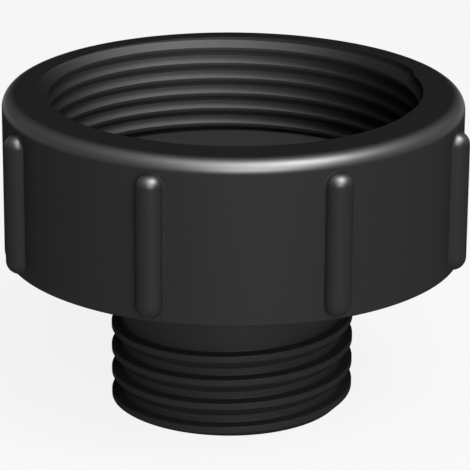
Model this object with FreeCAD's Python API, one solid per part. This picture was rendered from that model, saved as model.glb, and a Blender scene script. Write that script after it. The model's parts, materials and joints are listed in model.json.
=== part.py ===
"""Threaded reducing adapter for the outlet of a bulk liquid tank.

One black moulding has a wide socket with an inside thread and eight grip ribs, a web, and a narrow
spigot with an outside thread. A flat rubber ring lies on the seat at the bottom of the socket.

Millimetres. The origin is the centre of the spigot's end face, +Z runs up through the socket, and
angles are counted from +X towards +Y. The front of the adapter looks along -Y.
"""
import FreeCAD
import Part

import math
import os

# Outlet thread, standing on the spigot: a buttress form, single start, right-hand
outlet_crest_diameter = 59.2
outlet_pitch = 6.0
outlet_depth = 2.4
outlet_crest_width = 1.55
outlet_root_width = 1.8
outlet_load_rise = 0.25
outlet_exit_angle = 198.0
outlet_thread_length = 22.5

# Spigot and bore
spigot_length = 38.1
spigot_wall = 3.7
bore_chamfer = 0.8

# Inlet thread, cut inside the socket: a buttress form, single start, right-hand
inlet_crest_diameter = 88.6
inlet_pitch = 4.0
inlet_depth = 3.7
inlet_crest_width = 0.9
inlet_root_width = 1.5
inlet_load_rise = 1.0
inlet_shoulder_depth = 1.8
inlet_shoulder_rise = 0.07
inlet_exit_angle = 249.3
inlet_chamfer = 0.3

# Socket: the wall stands outside the thread's root
web_thickness = 12.5
socket_depth = 26.97
socket_wall = 7.4
rim_fillet = 3.4
collar_edge_radius = 0.6

# Sealing ring, under the last turn of the inlet thread, in a relief as wide as the thread's root
gasket_thickness = 3.0
gasket_width = 18.4
gasket_edge_gap = 0.6
gasket_edge_radius = 0.4
relief_head_gap = 0.8
relief_margin = 0.2

# Grip ribs: half-round bars with round ends
rib_count = 8
rib_radius = 3.25
rib_first_angle = 25.3
rib_top_gap = 4.07
rib_bottom_gap = 1.1

# Threads overlap what they are cut from or stand on by this much
thread_overlap = 0.4

seat_height = spigot_length + web_thickness
overall_height = seat_height + socket_depth
outlet_crest_radius = outlet_crest_diameter / 2
outlet_root_radius = outlet_crest_radius - outlet_depth
bore_radius = outlet_root_radius - spigot_wall
inlet_crest_radius = inlet_crest_diameter / 2
inlet_root_radius = inlet_crest_radius + inlet_depth
collar_radius = inlet_root_radius + socket_wall
relief_radius = inlet_root_radius + relief_margin
relief_height = gasket_thickness + relief_head_gap


def point(radius, height):
    """A point of a section, in the XZ plane."""
    return FreeCAD.Vector(radius, 0, height)


def closed_face(corners):
    """A flat face inside a closed line of corner points."""
    return Part.Face(Part.makePolygon(corners + corners[:1]))


def turned(face):
    """The solid that a section makes when it is turned once round the Z axis."""
    return face.revolve(FreeCAD.Vector(0, 0, 0), FreeCAD.Vector(0, 0, 1), 360)


def turned_about_axis(shape, angle):
    """The shape, turned round the Z axis."""
    shape.rotate(FreeCAD.Vector(0, 0, 0), FreeCAD.Vector(0, 0, 1), angle)
    return shape


def helical_bar(corners, pitch, low, high, angle):
    """A bar of the given section that climbs a right-hand helix from low to high.

    The section's heights count from the helix, which starts at the given angle.
    """
    radius = sum(corner.x for corner in corners) / len(corners)
    helix = Part.makeHelix(pitch, high - low, radius)
    section = Part.makePolygon(corners + corners[:1])
    bar = Part.Wire(helix.Edges).makePipeShell([section], True, True)
    bar.translate(FreeCAD.Vector(0, 0, low))
    return turned_about_axis(bar, angle)


def outward_corner(radius, height, corner_radius, side):
    """A quarter arc that rounds the collar's outer corner: side is 1 at the top and -1 at the bottom."""
    middle = corner_radius * (1 - math.cos(math.pi / 4))
    return Part.Arc(
        point(radius, height - side * corner_radius),
        point(radius - middle, height - side * middle),
        point(radius - corner_radius, height),
    ).toShape()


def blank():
    """Spigot core, web and collar in one turned section, with a plain socket."""
    underside = Part.makePolygon([
        point(bore_radius + bore_chamfer, 0),
        point(outlet_root_radius, 0),
        point(outlet_root_radius, spigot_length),
        point(collar_radius - collar_edge_radius, spigot_length),
    ])
    outer_wall = Part.makePolygon([
        point(collar_radius, spigot_length + collar_edge_radius),
        point(collar_radius, overall_height - rim_fillet),
    ])
    inside = Part.makePolygon([
        point(collar_radius - rim_fillet, overall_height),
        point(inlet_crest_radius, overall_height),
        point(inlet_crest_radius, seat_height),
        point(bore_radius + bore_chamfer, seat_height),
        point(bore_radius, seat_height - bore_chamfer),
        point(bore_radius, bore_chamfer),
        point(bore_radius + bore_chamfer, 0),
    ])
    low_corner = outward_corner(collar_radius, spigot_length, collar_edge_radius, -1)
    rim_corner = outward_corner(collar_radius, overall_height, rim_fillet, 1)
    edges = underside.Edges + [low_corner] + outer_wall.Edges + [rim_corner] + inside.Edges
    return turned(Part.Face(Part.Wire(Part.sortEdges(edges)[0])))


def grip_rib(angle):
    """One rib: a bar with round ends, half sunk in the collar's wall."""
    low = spigot_length + rib_bottom_gap + rib_radius
    high = overall_height - rib_top_gap - rib_radius
    rib = Part.makeCylinder(rib_radius, high - low, point(collar_radius, low))
    for height in (low, high):
        rib = rib.fuse(Part.makeSphere(rib_radius, point(collar_radius, height)))
    return turned_about_axis(rib.removeSplitter(), angle)


def inlet_groove():
    """The groove of the inlet thread, from the relief above the seat out through the rim.

    Its upper side runs level from the root to a shoulder, and slopes up from there to the crest.
    """
    load_slope = inlet_load_rise / inlet_depth
    root_low = inlet_load_rise
    root_high = root_low + inlet_root_width
    shoulder_high = root_high + inlet_shoulder_rise
    crest_high = inlet_pitch - inlet_crest_width
    clear_slope = (crest_high - shoulder_high) / inlet_shoulder_depth
    inner = inlet_crest_radius - thread_overlap
    corners = [
        point(inner, -load_slope * thread_overlap),
        point(inlet_root_radius, root_low),
        point(inlet_root_radius, root_high),
        point(inlet_crest_radius + inlet_shoulder_depth, shoulder_high),
        point(inner, crest_high + clear_slope * thread_overlap),
    ]
    low = seat_height + inlet_load_rise
    high = overall_height + inlet_pitch
    angle = inlet_exit_angle - 360 * (overall_height - low) / inlet_pitch
    return helical_bar(corners, inlet_pitch, low, high, angle)


def outlet_ridge():
    """The ridge of the outlet thread, from below the end face up to its blunt end under the collar."""
    clear_rise = outlet_pitch - outlet_crest_width - outlet_root_width - outlet_load_rise
    clear_slope = clear_rise / outlet_depth
    load_slope = outlet_load_rise / outlet_depth
    inner = outlet_root_radius - thread_overlap
    corners = [
        point(inner, -clear_rise - clear_slope * thread_overlap),
        point(outlet_crest_radius, 0),
        point(outlet_crest_radius, outlet_crest_width),
        point(inner, outlet_crest_width + outlet_load_rise + load_slope * thread_overlap),
    ]
    return helical_bar(corners, outlet_pitch, -outlet_pitch, outlet_thread_length, outlet_exit_angle)


def threaded_socket(body):
    """The blank with its inlet thread, the chamfer at the rim and the relief above the seat.

    The chamfer and the relief are cut after the groove, so that each trims the thread's ends.
    """
    leg = inlet_chamfer + thread_overlap
    inner = inlet_crest_radius - thread_overlap
    chamfer = turned(closed_face([
        point(inner, overall_height - leg),
        point(inlet_crest_radius + leg, overall_height + thread_overlap),
        point(inner, overall_height + thread_overlap),
    ]))
    relief = Part.makeCylinder(relief_radius, relief_height, point(0, seat_height))
    return body.cut(inlet_groove()).cut(chamfer).cut(relief)


def adapter_body():
    """The whole moulding."""
    body = threaded_socket(blank())
    above_end_face = Part.makeCylinder(collar_radius, overall_height)
    body = body.fuse(outlet_ridge().common(above_end_face))
    for number in range(rib_count):
        body = body.fuse(grip_rib(rib_first_angle + 360 * number / rib_count))
    return body


def sealing_gasket():
    """The flat ring on the seat."""
    outer = inlet_root_radius - gasket_edge_gap
    inner = outer - gasket_width
    top = seat_height + gasket_thickness
    ring = turned(closed_face([
        point(inner, seat_height),
        point(outer, seat_height),
        point(outer, top),
        point(inner, top),
    ]))
    return ring.makeFillet(gasket_edge_radius, ring.Edges)


def main():
    """Write one file for each piece."""
    os.makedirs("parts", exist_ok=True)
    pieces = {"adapter_body": adapter_body(), "sealing_gasket": sealing_gasket()}
    for name, shape in pieces.items():
        print(name, "solids", len(shape.Solids), "valid", shape.isValid(), "volume", round(shape.Volume, 1))
        shape.exportStep(f"parts/{name}.step")


main()
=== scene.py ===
"""Dresses a packed tank outlet adapter: its black moulding, its rubber sealing ring and a pale studio.

Metres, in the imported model's own frame: the origin is the centre of the spigot's end face, +Z runs up
through the socket, and angles are counted from +X towards +Y. The camera looks along +Y.
"""

import json
import math

import bmesh
import bpy
import numpy as np
from mathutils import Matrix, Vector


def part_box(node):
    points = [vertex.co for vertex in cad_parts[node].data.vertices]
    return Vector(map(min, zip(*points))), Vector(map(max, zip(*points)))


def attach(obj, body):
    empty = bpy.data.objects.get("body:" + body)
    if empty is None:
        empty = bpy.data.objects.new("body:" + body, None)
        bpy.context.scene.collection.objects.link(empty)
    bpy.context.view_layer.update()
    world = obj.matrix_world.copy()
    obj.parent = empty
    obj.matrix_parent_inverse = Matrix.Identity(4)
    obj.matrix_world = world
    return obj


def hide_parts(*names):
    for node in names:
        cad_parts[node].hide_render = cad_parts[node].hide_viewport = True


bl_info = {
    "name": "Tank outlet adapter",
    "version": (1, 0, 0),
    "blender": (4, 5, 0),
    "location": "3D View > Sidebar > Adapter",
    "description": "Builds the adapter's moulding, its sealing ring and the studio around them",
    "category": "Add Mesh",
}

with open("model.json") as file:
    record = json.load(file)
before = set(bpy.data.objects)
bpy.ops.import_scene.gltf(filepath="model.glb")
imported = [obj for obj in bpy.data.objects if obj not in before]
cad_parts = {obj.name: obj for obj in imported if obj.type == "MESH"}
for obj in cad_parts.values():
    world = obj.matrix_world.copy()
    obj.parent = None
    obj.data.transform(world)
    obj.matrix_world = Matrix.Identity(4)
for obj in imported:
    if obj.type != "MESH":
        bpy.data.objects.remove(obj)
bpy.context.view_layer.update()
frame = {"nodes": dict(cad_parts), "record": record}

MM = 0.001
TURN = 2 * math.pi
PHOTO_PIXELS = 470

# Softboxes: metres and degrees, with the azimuth counted from +X and the camera at -90
LAMPS = {
    "key": {"width": 0.7, "height": 0.7, "azimuth": -42, "elevation": 55, "distance": 2.0},
    "sweep": {"width": 1.8, "height": 2.0, "azimuth": -67, "elevation": 50, "distance": 2.0},
    "front": {"width": 1.2, "height": 0.6, "azimuth": -80, "elevation": 12, "distance": 2.0},
    "top": {"width": 2.4, "height": 2.4, "azimuth": -70, "elevation": 80, "distance": 2.4},
}

# How finely the moulding's mesh is divided
THREAD_EDGE_STEPS = 3
INLET_CREST_POINTS = 3
CORNER_STEPS = 4
RIM_STEPS = 16
RIB_ARC_STEPS = 7
RIB_FOOT_STEPS = 3
RIB_STRAIGHT_ROWS = 5
PLAIN_COLUMNS = 18

mounts = {mount["name"]: mount["dims"] for mount in frame["record"]["mounts"]}
seat_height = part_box("sealing_gasket")[0].z
overall_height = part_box("adapter_body")[1].z
bore_radius = mounts["through_bore"]["r_mm"] * MM
outlet_crest_radius = mounts["outlet_thread"]["r_mm"] * MM
outlet_thread_length = mounts["outlet_thread"]["length_mm"] * MM
inlet_crest_radius = mounts["inlet_thread"]["r_mm"] * MM


def length(name, description, millimetres):
    """A length property, in metres, with its default given in millimetres."""
    return bpy.props.FloatProperty(
        name=name, description=description, default=millimetres * MM, min=0.0, precision=5, unit="LENGTH")


def angle(name, description, degrees):
    """An angle property, in radians, with its default given in degrees."""
    return bpy.props.FloatProperty(
        name=name, description=description, default=math.radians(degrees), subtype="ANGLE")


def share(name, description, value):
    """A property between 0 and 1."""
    return bpy.props.FloatProperty(
        name=name, description=description, default=value, min=0.0, max=1.0, subtype="FACTOR")


def power(name, description, watts):
    """A lamp's power."""
    return bpy.props.FloatProperty(name=name, description=description, default=watts, min=0.0, unit="POWER")


def linear(hex_colour):
    """The linear RGB colour of an sRGB hex value such as #1a1a1b."""
    values = np.array([int(hex_colour[i:i + 2], 16) for i in (1, 3, 5)]) / 255
    return tuple(np.where(values <= 0.04045, values / 12.92, ((values + 0.055) / 1.055) ** 2.4))


def colour(name, description, hex_colour):
    """A colour property, kept as linear RGB."""
    return bpy.props.FloatVectorProperty(
        name=name, description=description, default=linear(hex_colour), min=0.0, max=1.0, subtype="COLOR")


class MouldingSizes(bpy.types.PropertyGroup):
    """The sizes of the collar, the spigot and the web between them."""
    collar_radius: length("Collar radius", "Radius of the collar's wall between its ribs", 55.4)
    rim_fillet: length("Rim fillet", "Radius that rounds the collar's top outer edge", 3.4)
    collar_edge: length("Collar edge", "Radius that rounds the collar's lower edge", 0.6)
    spigot_length: length("Spigot length", "From the end face to the collar's underside", 38.1)
    neck_fillet: length("Neck fillet", "Radius in the corner of the neck and the collar", 0.5)
    bore_chamfer: length("Bore chamfer", "Leg of the chamfer at both ends of the bore", 0.8)
    mouth_chamfer: length("Mouth chamfer", "Leg of the chamfer at the mouth of the socket", 0.3)
    relief_radius: length("Relief radius", "Radius of the relief around the sealing ring", 48.2)
    relief_height: length("Relief height", "Height of the relief above the seat", 3.8)
    rib_radius: length("Rib radius", "Radius of each half-round grip rib", 3.25)
    rib_fillet: length("Rib fillet", "Radius in the corner of each rib and the wall", 0.4)
    rib_top_gap: length("Rib top gap", "From each rib's top end to the rim", 4.07)
    rib_bottom_gap: length("Rib bottom gap", "From each rib's low end to the collar's underside", 1.1)
    rib_count: bpy.props.IntProperty(name="Ribs", description="Number of grip ribs", default=8, min=2)
    rib_angle: angle("First rib", "Angle of the first rib", 25.3)


class OutletThreadSizes(bpy.types.PropertyGroup):
    """The buttress ridge that stands on the spigot."""
    pitch: length("Pitch", "Rise of the thread in one turn", 6.0)
    depth: length("Depth", "From the crest to the root", 2.4)
    crest_width: length("Crest width", "Width of the ridge's crest", 1.55)
    root_width: length("Root width", "Width of the groove's root", 1.8)
    load_rise: length("Load flank rise", "Height that the load flank takes", 0.25)
    edge: length("Edge radius", "Radius that rounds the crest and fills the root", 0.28)
    exit_angle: angle("Exit angle", "Where the ridge's crest meets the end face", 198.0)
    fade: length("Fade", "Height over which the ridge runs out at its blind end", 0.12)
    headroom: length("Headroom", "From the thread's length up to where the plain neck starts", 2.5)


class InletThreadSizes(bpy.types.PropertyGroup):
    """The buttress groove inside the socket, and the paler tone painted on it as a highlight."""
    pitch: length("Pitch", "Rise of the thread in one turn", 4.0)
    depth: length("Depth", "From the crest to the root", 3.7)
    crest_width: length("Crest width", "Width of the crest between two turns of the groove", 0.9)
    root_width: length("Root width", "Width of the groove's root", 1.5)
    load_rise: length("Load flank rise", "Height that the load flank takes", 1.0)
    shoulder_depth: length("Shoulder depth", "From the crest to the shoulder of the clearance side", 1.8)
    shoulder_rise: length("Shoulder rise", "Height from the root to the shoulder", 0.07)
    crest_edge: length("Crest edge radius", "Radius that rounds the crest and the shoulder", 0.2)
    root_edge: length("Root edge radius", "Radius that fills the root", 0.3)
    exit_angle: angle("Exit angle", "Where the groove's load flank meets the rim", 249.3)
    # The paler tone set here is a painted highlight on the load flanks: colour that stands in for the light
    # they catch, strongest at one angle and fading to either side.
    painted_highlight_start: length("Rub start", "Height above the crest's edge where the rubbed tone starts", 0.02)
    painted_highlight_elsewhere: share("Rub elsewhere", "Share of the rubbed tone off the load flank", 0.09)
    painted_highlight_angle: angle("Rub angle", "Side on which the unscrewing core rubbed the thread most", 106.0)
    painted_highlight_focus: bpy.props.FloatProperty(
        name="Rub focus", description="How fast the rubbed tone fades to either side", default=4.0, min=0.0)


class FinishSettings(bpy.types.PropertyGroup):
    """Colours and gloss of the two materials."""
    plastic: colour("Plastic", "Colour of the moulded plastic", "#1e1e1f")
    # A painted highlight: the paler colour laid on the socket thread's load flanks in place of the light
    # they catch.
    rubbed: colour("Rubbed plastic", "Paler tone that unscrewing the core leaves on the thread", "#5f5f60")
    plastic_roughness: share("Plastic roughness", "Roughness of the moulding under its skin", 0.5)
    satin: share("Satin", "Share of the polish that the whole moulding has", 0.028)
    polish_roughness: share("Polish roughness", "Roughness of the rim's and the rib ends' polish", 0.45)
    polish_ior: bpy.props.FloatProperty(
        name="Polish IOR", description="Index of refraction of the polish", default=2.8, min=1.0)
    rubber: colour("Rubber", "Colour of the sealing ring", "#2e2e2f")
    rubber_roughness: share("Rubber roughness", "Roughness of the matt rubber", 0.7)


class StageSettings(bpy.types.PropertyGroup):
    """The camera, the lamps and the floor."""
    elevation: angle("Camera elevation", "How far the camera looks down", 19.24)
    roll: angle("Camera roll", "How far the camera leans", 0.4)
    distance: length("Camera distance", "From the camera to its target", 696.4)
    target_height: length("Target height", "Height of the point the camera looks at", 41.45)
    focal_pixels: bpy.props.FloatProperty(
        name="Focal length", description="Focal length in pixels of the picture", default=2861.6, min=1.0)
    centre_x: bpy.props.FloatProperty(
        name="Centre across", description="Optical centre in pixels of the picture", default=232.64)
    centre_y: bpy.props.FloatProperty(
        name="Centre down", description="Optical centre in pixels of the picture", default=232.68)
    key_power: power("Key power", "Power of the compact softbox at the right front", 12.0)
    sweep_power: power("Sweep power", "Power of the tall softbox at the right front", 30.0)
    front_power: power("Front power", "Power of the low wide softbox beside the camera", 42.0)
    top_power: power("Top power", "Power of the overhead softbox", 5.0)
    world: share("World", "Brightness of the surroundings", 0.07)
    floor: colour("Floor", "Colour of the floor", "#c8c8c7")
    floor_gap: length("Floor gap", "From the end face down to the floor", 0.03)
    floor_reach: length("Floor reach", "From the adapter to each edge of the floor", 3000.0)
    backlight: share("Backlight", "Share of the floor that the camera sees as even white", 0.86)


def new_object(name, points, faces, face_values, point_values):
    """A mesh object from an array of points and an array of four-cornered faces.

    Each named array of values becomes an attribute of the faces or of the points. Coincident points
    are merged, which closes the seam and drops the faces that have no area.
    """
    merge_distance = 0.002 * MM
    mesh = bpy.data.meshes.new(name)
    mesh.from_pydata(points.reshape(-1, 3).tolist(), [], faces.tolist())
    for domain, named_values in (("FACE", face_values), ("POINT", point_values)):
        for attribute, values in named_values.items():
            mesh.attributes.new(attribute, "FLOAT", domain).data.foreach_set("value", values.reshape(-1))
    shape = bmesh.new()
    shape.from_mesh(mesh)
    bmesh.ops.remove_doubles(shape, verts=shape.verts, dist=merge_distance)
    shape.to_mesh(mesh)
    shape.free()
    mesh.shade_smooth()
    piece = bpy.data.objects.new(name, mesh)
    bpy.context.scene.collection.objects.link(piece)
    return piece


def even_shading(piece, sharp_angle):
    """Lets the large faces set the shading, so that flats stay flat beside small rounded edges."""
    piece.data.set_sharp_from_angle(angle=sharp_angle)
    weighted = piece.modifiers.new("Even shading", "WEIGHTED_NORMAL")
    weighted.weight = 50
    weighted.keep_sharp = True


def ring_faces(rows, columns):
    """Four-cornered faces of a grid of points, row by row. The last row joins the first."""
    row = np.arange(rows)[:, None]
    column = np.arange(columns - 1)[None, :]
    above = (row + 1) % rows
    corners = (row * columns + column, row * columns + column + 1,
               above * columns + column + 1, above * columns + column)
    return np.stack(corners, axis=-1).reshape(-1, 4)


def rounded(corners, radii, steps):
    """A line of (radius, height) corners with each inner corner turned into a true arc.

    An arc starts and ends one tangent length from its corner, which is its radius times the tangent of
    half the turn. Between, it is the rational quadratic curve that has the corner as its control
    point, with the cosine of half the turn as its weight. The line's two end corners stay.
    """
    before = corners[:-2] - corners[1:-1]
    after = corners[2:] - corners[1:-1]
    before /= np.linalg.norm(before, axis=1, keepdims=True)
    after /= np.linalg.norm(after, axis=1, keepdims=True)
    half_turn = (math.pi - np.arccos(np.clip((before * after).sum(axis=1), -1, 1))) / 2
    tangent = (radii * np.tan(half_turn))[:, None]
    weight = np.cos(half_turn)[:, None, None]
    share_along = np.linspace(0, 1, steps + 1)[None, :, None]
    start = (corners[1:-1] + before * tangent)[:, None, :]
    middle = corners[1:-1][:, None, :]
    end = (corners[1:-1] + after * tangent)[:, None, :]
    from_start = (1 - share_along) ** 2
    from_middle = 2 * weight * share_along * (1 - share_along)
    from_end = share_along ** 2
    total = from_start + from_middle + from_end
    arcs = (from_start * start + from_middle * middle + from_end * end) / total
    return np.vstack([corners[:1], arcs.reshape(-1, 2), corners[-1:]])


def thread_section(corners, radii, pitch):
    """One pitch of a thread's section as heights and radii, with its corners rounded.

    The corners are repeated one pitch below and above, so that every corner has both its neighbours.
    """
    one_pitch = np.array([0.0, pitch])
    repeated = np.vstack([corners[-1:] - one_pitch, corners, corners[:1] + one_pitch])
    line = rounded(repeated, np.array(radii), THREAD_EDGE_STEPS)[1:-1]
    return line[:, 1], line[:, 0]


def section_radius(section, pitch, phase):
    """The section's radius at a height above its helix, for any number of pitches."""
    heights, radii = section
    order = np.argsort(heights)
    return np.interp(np.mod(phase, pitch), heights[order], radii[order], period=pitch)


def helical_rows(section, pitch, start, low, high, angles):
    """Rows of a thread: heights, radii and helix heights of each row and angle, and section places.

    A row's height is its place in the section plus the pitch times the turns made, and it is held
    between low and high. A held row takes the radius that the section has at the height it is held at.
    One row at each end is held all the way round, so that the seam has the same points on both sides.
    """
    heights, _ = section
    first = math.floor((low - start - heights.max()) / pitch) - 1
    last = math.ceil((high - start - heights.min()) / pitch) + 1
    turns = np.arange(first, last + 1)
    phase = (turns[:, None] * pitch + heights[None, :]).reshape(-1)
    base_turn = np.repeat(turns, heights.size)
    place = np.tile(np.arange(heights.size), turns.size)
    rise = start + pitch * angles / TURN
    free = phase[:, None] + rise[None, :]
    within = np.flatnonzero((free.max(axis=1) >= low) & (free.min(axis=1) <= high))
    useful = slice(within[0] - 1, within[-1] + 2)
    held = np.clip(free[useful], low, high)
    radius = section_radius(section, pitch, held - rise[None, :])
    helix = base_turn[useful, None] * pitch + rise[None, :]
    return held, radius, helix, place[useful]


def outlet_section(sizes):
    """The spigot thread's section: clearance flank, crest, load flank and root, from its helix up."""
    root = outlet_crest_radius - sizes.depth
    clear_rise = sizes.pitch - sizes.crest_width - sizes.root_width - sizes.load_rise
    corners = np.array([
        [root, -clear_rise],
        [outlet_crest_radius, 0.0],
        [outlet_crest_radius, sizes.crest_width],
        [root, sizes.crest_width + sizes.load_rise],
    ])
    return thread_section(corners, [sizes.edge] * 4, sizes.pitch)


def inlet_section(sizes):
    """The socket thread's section: load flank, root, shoulder, clearance flank and crest.

    A few more points divide the crest, because a row that is held at the rim runs along it.
    """
    crest = inlet_crest_radius
    root_high = sizes.load_rise + sizes.root_width
    corners = np.array([
        [crest, 0.0],
        [crest + sizes.depth, sizes.load_rise],
        [crest + sizes.depth, root_high],
        [crest + sizes.shoulder_depth, root_high + sizes.shoulder_rise],
        [crest, sizes.pitch - sizes.crest_width],
    ])
    radii = [sizes.crest_edge, sizes.root_edge, sizes.root_edge, sizes.crest_edge, sizes.crest_edge]
    heights, rounded_radii = thread_section(corners, radii, sizes.pitch)
    crest_width = heights[0] + sizes.pitch - heights[-1]
    between = heights[-1] + crest_width * np.arange(1, INLET_CREST_POINTS + 1) / (INLET_CREST_POINTS + 1)
    return np.append(heights, between), np.append(rounded_radii, np.full(INLET_CREST_POINTS, crest))


def inlet_painted_highlight(section, sizes):
    """How much painted highlight each face of the socket thread's section takes: full on the load flank,
    little elsewhere.
    """
    heights, _ = section
    middle = (heights + np.roll(heights, -1)) / 2
    on_load_flank = (middle > sizes.painted_highlight_start) & (middle < sizes.load_rise)
    return np.where(on_load_flank, 1.0, sizes.painted_highlight_elsewhere)


def rib_profile(sizes):
    """Offset and height of a half-round rib from its middle line out to the wall.

    The top is a circle about the wall's surface. A fillet that touches both the circle and the wall
    takes over where the line between their centres crosses the circle.
    """
    radius = sizes.rib_radius
    fillet = sizes.rib_fillet
    reach = math.sqrt(radius ** 2 + 2 * radius * fillet)
    meet = math.acos(fillet / (radius + fillet))
    top = np.linspace(0, meet, RIB_ARC_STEPS + 1)
    foot = np.linspace(meet, 0, RIB_FOOT_STEPS + 1)[1:]
    offset = np.concatenate([radius * np.sin(top), reach - fillet * np.sin(foot)])
    height = np.concatenate([radius * np.cos(top), fillet - fillet * np.cos(foot)])
    return offset, height


def body_columns(sizes):
    """Angle, level, side and rib number of every column of the body, once round.

    Each rib has one column for each level of its profile on either side, and plain columns, one level
    further out, fill the way to the next rib evenly. The last column repeats the first, one turn on.
    """
    offset, _ = rib_profile(sizes)
    sector = TURN / sizes.rib_count
    rib_angles = offset / sizes.collar_radius
    rib_levels = np.arange(offset.size)
    plain = np.linspace(rib_angles[-1], sector - rib_angles[-1], PLAIN_COLUMNS + 2)[1:-1]
    one_sector = np.concatenate([rib_angles, plain, sector - rib_angles[:0:-1]])
    one_level = np.concatenate([rib_levels, np.full(PLAIN_COLUMNS, offset.size), rib_levels[:0:-1]])
    past_middle = one_sector > sector / 2
    ribs = np.arange(sizes.rib_count)[:, None]
    angles = (sizes.rib_angle + sector * ribs + one_sector[None, :]).reshape(-1)
    levels = np.tile(one_level, sizes.rib_count)
    sides = np.tile(np.where(past_middle, -1, 1), sizes.rib_count)
    nearest = (ribs + past_middle[None, :]).reshape(-1)
    return (np.append(angles, angles[0] + TURN), np.append(levels, levels[0]),
            np.append(sides, sides[0]), np.append(nearest, sizes.rib_count))


def block(radius, height, around, rubbed=0.0, polish=0.0):
    """Rows of points: radii, heights, angles, how much painted highlight the faces after each row take, and
    polish.
    """
    return (radius, height, *(np.broadcast_to(values, radius.shape) for values in (around, rubbed, polish)))


def plain_block(radii, heights, angles, polish=0.0):
    """Rows that are the same at every angle."""
    ones = np.ones(angles.size)
    return block(np.outer(radii, ones), np.outer(heights, ones), angles, polish=polish)


def spigot_blocks(sizes, outlet, angles):
    """The bore's foot, the outlet thread and the neck, up to the collar's rounded lower edge.

    The ridge's stand above the root is scaled to nothing over the fade as its helix nears its length.
    """
    root = outlet_crest_radius - outlet.depth
    neck_low = outlet_thread_length + outlet.headroom
    underside = sizes.spigot_length
    start = -outlet.pitch * outlet.exit_angle / TURN
    section = outlet_section(outlet)
    heights, radii, helix, _ = helical_rows(section, outlet.pitch, start, 0.0, neck_low, angles)
    stand = np.clip((outlet_thread_length - helix) / outlet.fade, 0, 1)
    neck_line = rounded(np.array([
        [root, neck_low],
        [root, underside],
        [sizes.collar_radius, underside],
        [sizes.collar_radius, underside + 2 * sizes.collar_edge],
    ]), np.array([sizes.neck_fillet, sizes.collar_edge]), CORNER_STEPS)
    return [
        plain_block([bore_radius, bore_radius + sizes.bore_chamfer], [sizes.bore_chamfer, 0.0], angles),
        block(root + (radii - root) * stand, heights, angles),
        plain_block(neck_line[1:-1, 0], neck_line[1:-1, 1], angles),
    ]


def ribbed_wall(sizes, columns):
    """The collar's outer wall with its ribs.

    Near a rib, a point's level is the larger of its column's level and its row's level, and its
    distance from the rib's middle line is the profile's offset at that level. Square rings of the grid
    so become round rings about the rib's ends. Plain columns keep their own angle on the bare wall. The
    polish is the fourth power of the sine of twice the slope, on the rib's top end, clear of its foot.
    """
    angles, levels, sides, nearest = columns
    offset, height = rib_profile(sizes)
    last_level = offset.size - 1
    ends = np.arange(1, offset.size)
    low_middle = sizes.spigot_length + sizes.rib_bottom_gap + sizes.rib_radius
    high_middle = overall_height - sizes.rib_top_gap - sizes.rib_radius
    straight = np.linspace(low_middle, high_middle, RIB_STRAIGHT_ROWS)
    row_levels = np.concatenate([ends[::-1], np.zeros(RIB_STRAIGHT_ROWS, int), ends])[:, None]
    row_base = np.concatenate([np.full(last_level, low_middle), straight, np.full(last_level, high_middle)])
    row_sign = np.repeat([-1, 0, 1], [last_level, RIB_STRAIGHT_ROWS, last_level])[:, None]
    plain = levels > last_level
    across = np.minimum(levels, last_level)
    ring = np.maximum(across, row_levels)
    diagonal = np.maximum(np.hypot(across, row_levels), 1)
    sideways = offset[ring] * across / diagonal
    upward = offset[ring] * row_levels / diagonal
    rib_angle = sizes.rib_angle + nearest * TURN / sizes.rib_count
    around = np.where(plain, angles, rib_angle + sides * sideways / sizes.collar_radius)
    heights = row_base[:, None] + row_sign * np.where(plain, offset[row_levels], upward)
    stand = np.where(plain, 0.0, height[ring])
    slope = np.arcsin(np.clip(row_sign * upward / sizes.rib_radius, 0, 1))
    above_foot = np.clip(stand / sizes.rib_fillet - 1, 0, 1)
    return block(sizes.collar_radius + stand, heights, around, polish=np.sin(2 * slope) ** 4 * above_foot)


def rim(sizes, angles):
    """The collar's rounded top outer edge: a quarter circle from the wall in to the rim's flat.

    Its polish is the square of the sine of twice the turn, so it is full half way round.
    """
    turn = np.linspace(0, math.pi / 2, RIM_STEPS + 1)
    radii = sizes.collar_radius - sizes.rim_fillet + sizes.rim_fillet * np.cos(turn)
    heights = overall_height - sizes.rim_fillet + sizes.rim_fillet * np.sin(turn)
    return plain_block(radii, heights, angles, polish=np.sin(2 * turn)[:, None] ** 2)


def socket_blocks(sizes, inlet, angles):
    """The inlet thread from the rim down to the relief, and the relief, the seat and the bore's head.

    At the mouth, a row's radius is the larger of the thread's and that of the chamfer's cone.
    """
    section = inlet_section(inlet)
    relief_top = seat_height + sizes.relief_height
    start = overall_height - inlet.pitch * inlet.exit_angle / TURN
    heights, radii, _, place = helical_rows(
        section, inlet.pitch, start, relief_top, overall_height, angles)
    chamfer_cone = inlet_crest_radius + sizes.mouth_chamfer + heights - overall_height
    # The paler tone on the load flanks is a painted highlight.
    rubbed = inlet_painted_highlight(section, inlet)[place]
    painted_highlight_downward = np.append(rubbed[:-1][::-1], 0.0)[:, None]
    seat_corners = np.array([
        [sizes.relief_radius, relief_top],
        [sizes.relief_radius, seat_height],
        [bore_radius + sizes.bore_chamfer, seat_height],
        [bore_radius, seat_height - sizes.bore_chamfer],
    ])
    return [
        block(np.maximum(radii, chamfer_cone)[::-1], heights[::-1], angles, rubbed=painted_highlight_downward),
        plain_block(seat_corners[:, 0], seat_corners[:, 1], angles),
    ]


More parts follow.
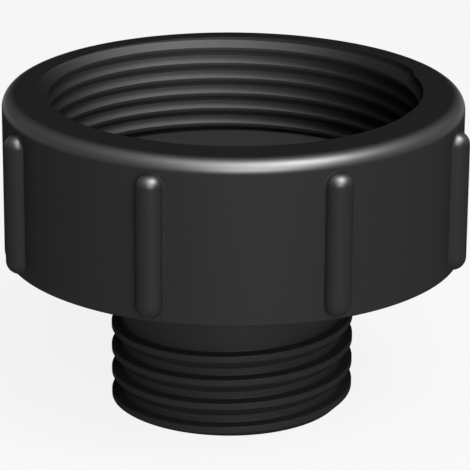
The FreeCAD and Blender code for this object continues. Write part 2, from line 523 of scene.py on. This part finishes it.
def moulding_surface(sizes, outlet, inlet):
    """Every row of the moulding's surface, once round its section, with its painted highlight and its
    polish.

    The rows run from the bore's foot out over the end face, up the spigot and the collar, over the rim
    and down the socket to the seat and the bore. The painted highlight on the socket thread is strongest
    at one angle and fades to either side as a power of the cosine.
    """
    columns = body_columns(sizes)
    angles = columns[0]
    blocks = [
        *spigot_blocks(sizes, outlet, angles),
        ribbed_wall(sizes, columns),
        rim(sizes, angles),
        *socket_blocks(sizes, inlet, angles),
    ]
    radius, height, around, rubbed, polish = (np.vstack(arrays) for arrays in zip(*blocks))
    points = np.stack([radius * np.cos(around), radius * np.sin(around), height], axis=-1)
    # The painted highlight fades away from its angle the way a lit lobe would.
    painted_highlight_falloff = np.clip(np.cos(around - inlet.painted_highlight_angle), 0, 1) ** inlet.painted_highlight_focus
    return points, (rubbed * painted_highlight_falloff)[:, :-1], polish


def add_node(tree, kind, settings=None, links=None):
    """Adds a node with its settings and the links or values of its inputs."""
    node = tree.nodes.new(kind)
    for name, value in (settings or {}).items():
        setattr(node, name, value)
    for name, value in (links or {}).items():
        if isinstance(value, bpy.types.NodeSocket):
            tree.links.new(value, node.inputs[name])
        else:
            node.inputs[name].default_value = value
    return node


def new_material(name):
    """An empty material and its node tree."""
    material = bpy.data.materials.new(name)
    material.use_nodes = True
    material.node_tree.nodes.clear()
    return material, material.node_tree


def rgba(linear_colour):
    """A colour with its alpha."""
    return (*linear_colour, 1.0)


def satin_polypropylene(finish):
    """Injection-moulded black polypropylene: an even satin black with a broad soft highlight.

    The mould's spark-eroded grain breaks up the highlight, and shallow sink waves bend it. The real
    grain is about 0.1 mm, and is drawn coarser so that it shows. The socket thread's load flanks are
    painted paler as a highlight, in place of the light they catch. All the gloss is in the skin, which is
    thin all over and full on the rim and the rib ends, where the mould is polished and hands keep it so.
    """
    grain_size = 0.35 * MM
    wave_size = 9.0 * MM
    roughness_spread = 0.06
    material, tree = new_material("satin moulded polypropylene")
    place = add_node(tree, "ShaderNodeTexCoord").outputs["Object"]
    grain = add_node(tree, "ShaderNodeTexNoise", {"noise_dimensions": "3D"},
                     {"Vector": place, "Scale": 1 / grain_size, "Detail": 2.0, "Roughness": 0.55})
    wave = add_node(tree, "ShaderNodeTexNoise", {"noise_dimensions": "3D"},
                    {"Vector": place, "Scale": 1 / wave_size, "Detail": 1.0})
    # This attribute gives the painted highlight: a paler colour on the thread's load flanks.
    rubbed = add_node(tree, "ShaderNodeAttribute", {"attribute_name": "rubbed"})
    tone = add_node(tree, "ShaderNodeMix", {"data_type": "RGBA"},
                    {"Factor": rubbed.outputs["Fac"], "A": rgba(finish.plastic), "B": rgba(finish.rubbed)})
    rough = add_node(tree, "ShaderNodeMapRange", None,
                     {"Value": grain.outputs["Fac"], "To Min": finish.plastic_roughness - roughness_spread,
                      "To Max": finish.plastic_roughness + roughness_spread})
    sink = add_node(tree, "ShaderNodeBump", None,
                    {"Height": wave.outputs["Fac"], "Strength": 0.25, "Distance": 0.12 * MM})
    texture = add_node(tree, "ShaderNodeBump", None,
                       {"Height": grain.outputs["Fac"], "Strength": 0.35, "Distance": 0.02 * MM,
                        "Normal": sink.outputs["Normal"]})
    polish = add_node(tree, "ShaderNodeAttribute", {"attribute_name": "polish"})
    skin = add_node(tree, "ShaderNodeMapRange", None,
                    {"Value": polish.outputs["Fac"], "To Min": finish.satin})
    shader = add_node(tree, "ShaderNodeBsdfPrincipled", None,
                      {"Base Color": tone.outputs["Result"], "Roughness": rough.outputs["Result"],
                       "Specular IOR Level": 0.0, "IOR": 1.49,
                       "Coat Weight": skin.outputs["Result"], "Coat Roughness": finish.polish_roughness,
                       "Coat IOR": finish.polish_ior, "Normal": texture.outputs["Normal"]})
    add_node(tree, "ShaderNodeOutputMaterial", None, {"Surface": shader.outputs["BSDF"]})
    return material


def matt_rubber(finish):
    """Moulded rubber: a soft grey-black with no clear reflection and a faint dusty mottle.

    The real grain is finer than 0.3 mm, and is drawn at that size so that it shows.
    """
    mottle_size = 2.2 * MM
    grain_size = 0.3 * MM
    dust = 1.35
    material, tree = new_material("matt moulded rubber")
    place = add_node(tree, "ShaderNodeTexCoord").outputs["Object"]
    mottle = add_node(tree, "ShaderNodeTexNoise", None,
                      {"Vector": place, "Scale": 1 / mottle_size, "Detail": 4.0})
    grain = add_node(tree, "ShaderNodeTexNoise", None,
                     {"Vector": place, "Scale": 1 / grain_size, "Detail": 2.0})
    dusty = tuple(value * dust for value in finish.rubber)
    tone = add_node(tree, "ShaderNodeMix", {"data_type": "RGBA"},
                    {"Factor": mottle.outputs["Fac"], "A": rgba(finish.rubber), "B": rgba(dusty)})
    texture = add_node(tree, "ShaderNodeBump", None,
                       {"Height": grain.outputs["Fac"], "Strength": 0.3, "Distance": 0.03 * MM})
    shader = add_node(tree, "ShaderNodeBsdfPrincipled", None,
                      {"Base Color": tone.outputs["Result"], "Roughness": finish.rubber_roughness,
                       "Specular IOR Level": 0.3, "Normal": texture.outputs["Normal"]})
    add_node(tree, "ShaderNodeOutputMaterial", None, {"Surface": shader.outputs["BSDF"]})
    return material


def pale_floor(stage):
    """Matt paper that takes the adapter's shadow and lights it plainly from below.

    The camera, reflections and clear things see the paper mixed with an even white, which leaves the
    shadow on it but makes it fainter.
    """
    material, tree = new_material("matt white paper")
    paper = add_node(tree, "ShaderNodeBsdfDiffuse", None, {"Color": rgba(stage.floor)})
    white = add_node(tree, "ShaderNodeEmission", None, {"Strength": 1.0})
    rays = add_node(tree, "ShaderNodeLightPath").outputs
    seen = rays["Is Camera Ray"]
    for name in ("Is Glossy Ray", "Is Transmission Ray"):
        either = add_node(tree, "ShaderNodeMath", {"operation": "MAXIMUM"}, {0: seen, 1: rays[name]})
        seen = either.outputs["Value"]
    lift = add_node(tree, "ShaderNodeMath", {"operation": "MULTIPLY"}, {0: seen, 1: stage.backlight})
    surface = add_node(tree, "ShaderNodeMixShader", None,
                       {"Fac": lift.outputs["Value"],
                        1: paper.outputs["BSDF"], 2: white.outputs["Emission"]})
    add_node(tree, "ShaderNodeOutputMaterial", None, {"Surface": surface.outputs["Shader"]})
    return material


def add_softbox(name, watts, width, height, azimuth, elevation, distance):
    """A rectangular soft lamp on a sphere about the adapter, aimed at its middle, with its width level."""
    light = bpy.data.lights.new(name, "AREA")
    light.shape = "RECTANGLE"
    light.size = width
    light.size_y = height
    light.energy = watts
    lamp = bpy.data.objects.new(name, light)
    bpy.context.scene.collection.objects.link(lamp)
    around = math.radians(azimuth)
    rise = math.radians(elevation)
    level = math.cos(rise)
    direction = Vector((level * math.cos(around), level * math.sin(around), math.sin(rise)))
    lamp.location = Vector((0, 0, overall_height / 2)) + distance * direction
    lamp.rotation_euler = (-direction).to_track_quat("-Z", "Y").to_euler()


def add_camera(scene, stage):
    """The photograph's camera: its aim, lean, focal length and optical centre."""
    sensor_width = 36.0
    camera_data = bpy.data.cameras.new("camera")
    camera_data.sensor_width = sensor_width
    camera_data.lens = stage.focal_pixels / PHOTO_PIXELS * sensor_width
    camera_data.shift_x = (PHOTO_PIXELS / 2 - stage.centre_x) / PHOTO_PIXELS
    camera_data.shift_y = (stage.centre_y - PHOTO_PIXELS / 2) / PHOTO_PIXELS
    camera = bpy.data.objects.new("camera", camera_data)
    scene.collection.objects.link(camera)
    forward = Vector((0, math.cos(stage.elevation), -math.sin(stage.elevation)))
    level = Vector((1, 0, 0))
    upright = level.cross(forward)
    right = math.cos(stage.roll) * level + math.sin(stage.roll) * upright
    up = right.cross(forward)
    place = Vector((0, 0, stage.target_height)) - stage.distance * forward
    camera.matrix_world = Matrix.Translation(place) @ Matrix((right, up, -forward)).transposed().to_4x4()
    scene.camera = camera


def add_floor(scene, stage):
    """A wide flat square just under the spigot's end face."""
    side = np.array([[-1, -1, 0], [1, -1, 0], [1, 1, 0], [-1, 1, 0]])
    corners = side * stage.floor_reach - np.array([0, 0, stage.floor_gap])
    mesh = bpy.data.meshes.new("floor")
    mesh.from_pydata(corners.tolist(), [], [[0, 1, 2, 3]])
    mesh.materials.append(pale_floor(stage))
    floor = bpy.data.objects.new("floor", mesh)
    scene.collection.objects.link(floor)


class ADAPTER_OT_stage(bpy.types.Operator):
    """Set up the camera, the floor, the lamps and the surroundings"""
    bl_idname = "adapter.stage"
    bl_label = "Studio"

    def execute(self, context):
        scene = context.scene
        stage = scene.stage
        add_camera(scene, stage)
        add_floor(scene, stage)
        for name, lamp in LAMPS.items():
            add_softbox(name, getattr(stage, name + "_power"), **lamp)
        world = bpy.data.worlds.new("studio")
        world.use_nodes = True
        world.node_tree.nodes["Background"].inputs["Color"].default_value = rgba([stage.world] * 3)
        scene.world = world
        scene.view_settings.view_transform = "Standard"
        return {"FINISHED"}


class ADAPTER_OT_body(bpy.types.Operator):
    """Build the moulding with both threads and its grip ribs"""
    bl_idname = "adapter.body"
    bl_label = "Moulding"

    def execute(self, context):
        scene = context.scene
        points, rubbed, polish = moulding_surface(scene.moulding, scene.outlet_thread, scene.inlet_thread)
        faces = ring_faces(*points.shape[:2])
        # The paler tone carried to the material is a painted highlight on the thread.
        piece = new_object("moulding", points, faces, {"rubbed": rubbed}, {"polish": polish})
        even_shading(piece, sharp_angle=math.radians(60))
        piece.data.materials.append(satin_polypropylene(scene.finish))
        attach(piece, "root")
        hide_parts("adapter_body")
        return {"FINISHED"}


class ADAPTER_OT_gasket(bpy.types.Operator):
    """Give the sealing ring its rubber"""
    bl_idname = "adapter.gasket"
    bl_label = "Sealing ring"

    def execute(self, context):
        ring = frame["nodes"]["sealing_gasket"]
        rubber = matt_rubber(context.scene.finish)
        if not ring.material_slots:
            ring.data.materials.append(rubber)
        for slot in ring.material_slots:
            slot.material = rubber
        return {"FINISHED"}


class ADAPTER_PT_panel(bpy.types.Panel):
    """The adapter's sizes, finishes and operators"""
    bl_idname = "ADAPTER_PT_panel"
    bl_label = "Tank outlet adapter"
    bl_space_type = "VIEW_3D"
    bl_region_type = "UI"
    bl_category = "Adapter"

    def draw(self, context):
        scene = context.scene
        for label, group, operator in (
                ("Studio", scene.stage, "adapter.stage"),
                ("Outlet thread", scene.outlet_thread, None),
                ("Inlet thread", scene.inlet_thread, None),
                ("Moulding", scene.moulding, "adapter.body"),
                ("Finish", scene.finish, "adapter.gasket")):
            box = self.layout.box()
            box.label(text=label)
            for name in group.__annotations__:
                box.prop(group, name)
            if operator:
                box.operator(operator)


GROUPS = {
    "moulding": MouldingSizes,
    "outlet_thread": OutletThreadSizes,
    "inlet_thread": InletThreadSizes,
    "finish": FinishSettings,
    "stage": StageSettings,
}
CLASSES = (*GROUPS.values(), ADAPTER_OT_stage, ADAPTER_OT_body, ADAPTER_OT_gasket, ADAPTER_PT_panel)


def register():
    """Adds the classes to Blender and their settings to the scene."""
    for item in CLASSES:
        bpy.utils.register_class(item)
    for name, group in GROUPS.items():
        setattr(bpy.types.Scene, name, bpy.props.PointerProperty(type=group))


def unregister():
    """Takes the settings and the classes away again."""
    for name in GROUPS:
        delattr(bpy.types.Scene, name)
    for item in reversed(CLASSES):
        bpy.utils.unregister_class(item)


def main():
    """Builds everything in order."""
    register()
    bpy.ops.adapter.stage()
    bpy.ops.adapter.body()
    bpy.ops.adapter.gasket()


if __name__ == "__main__":
    main()
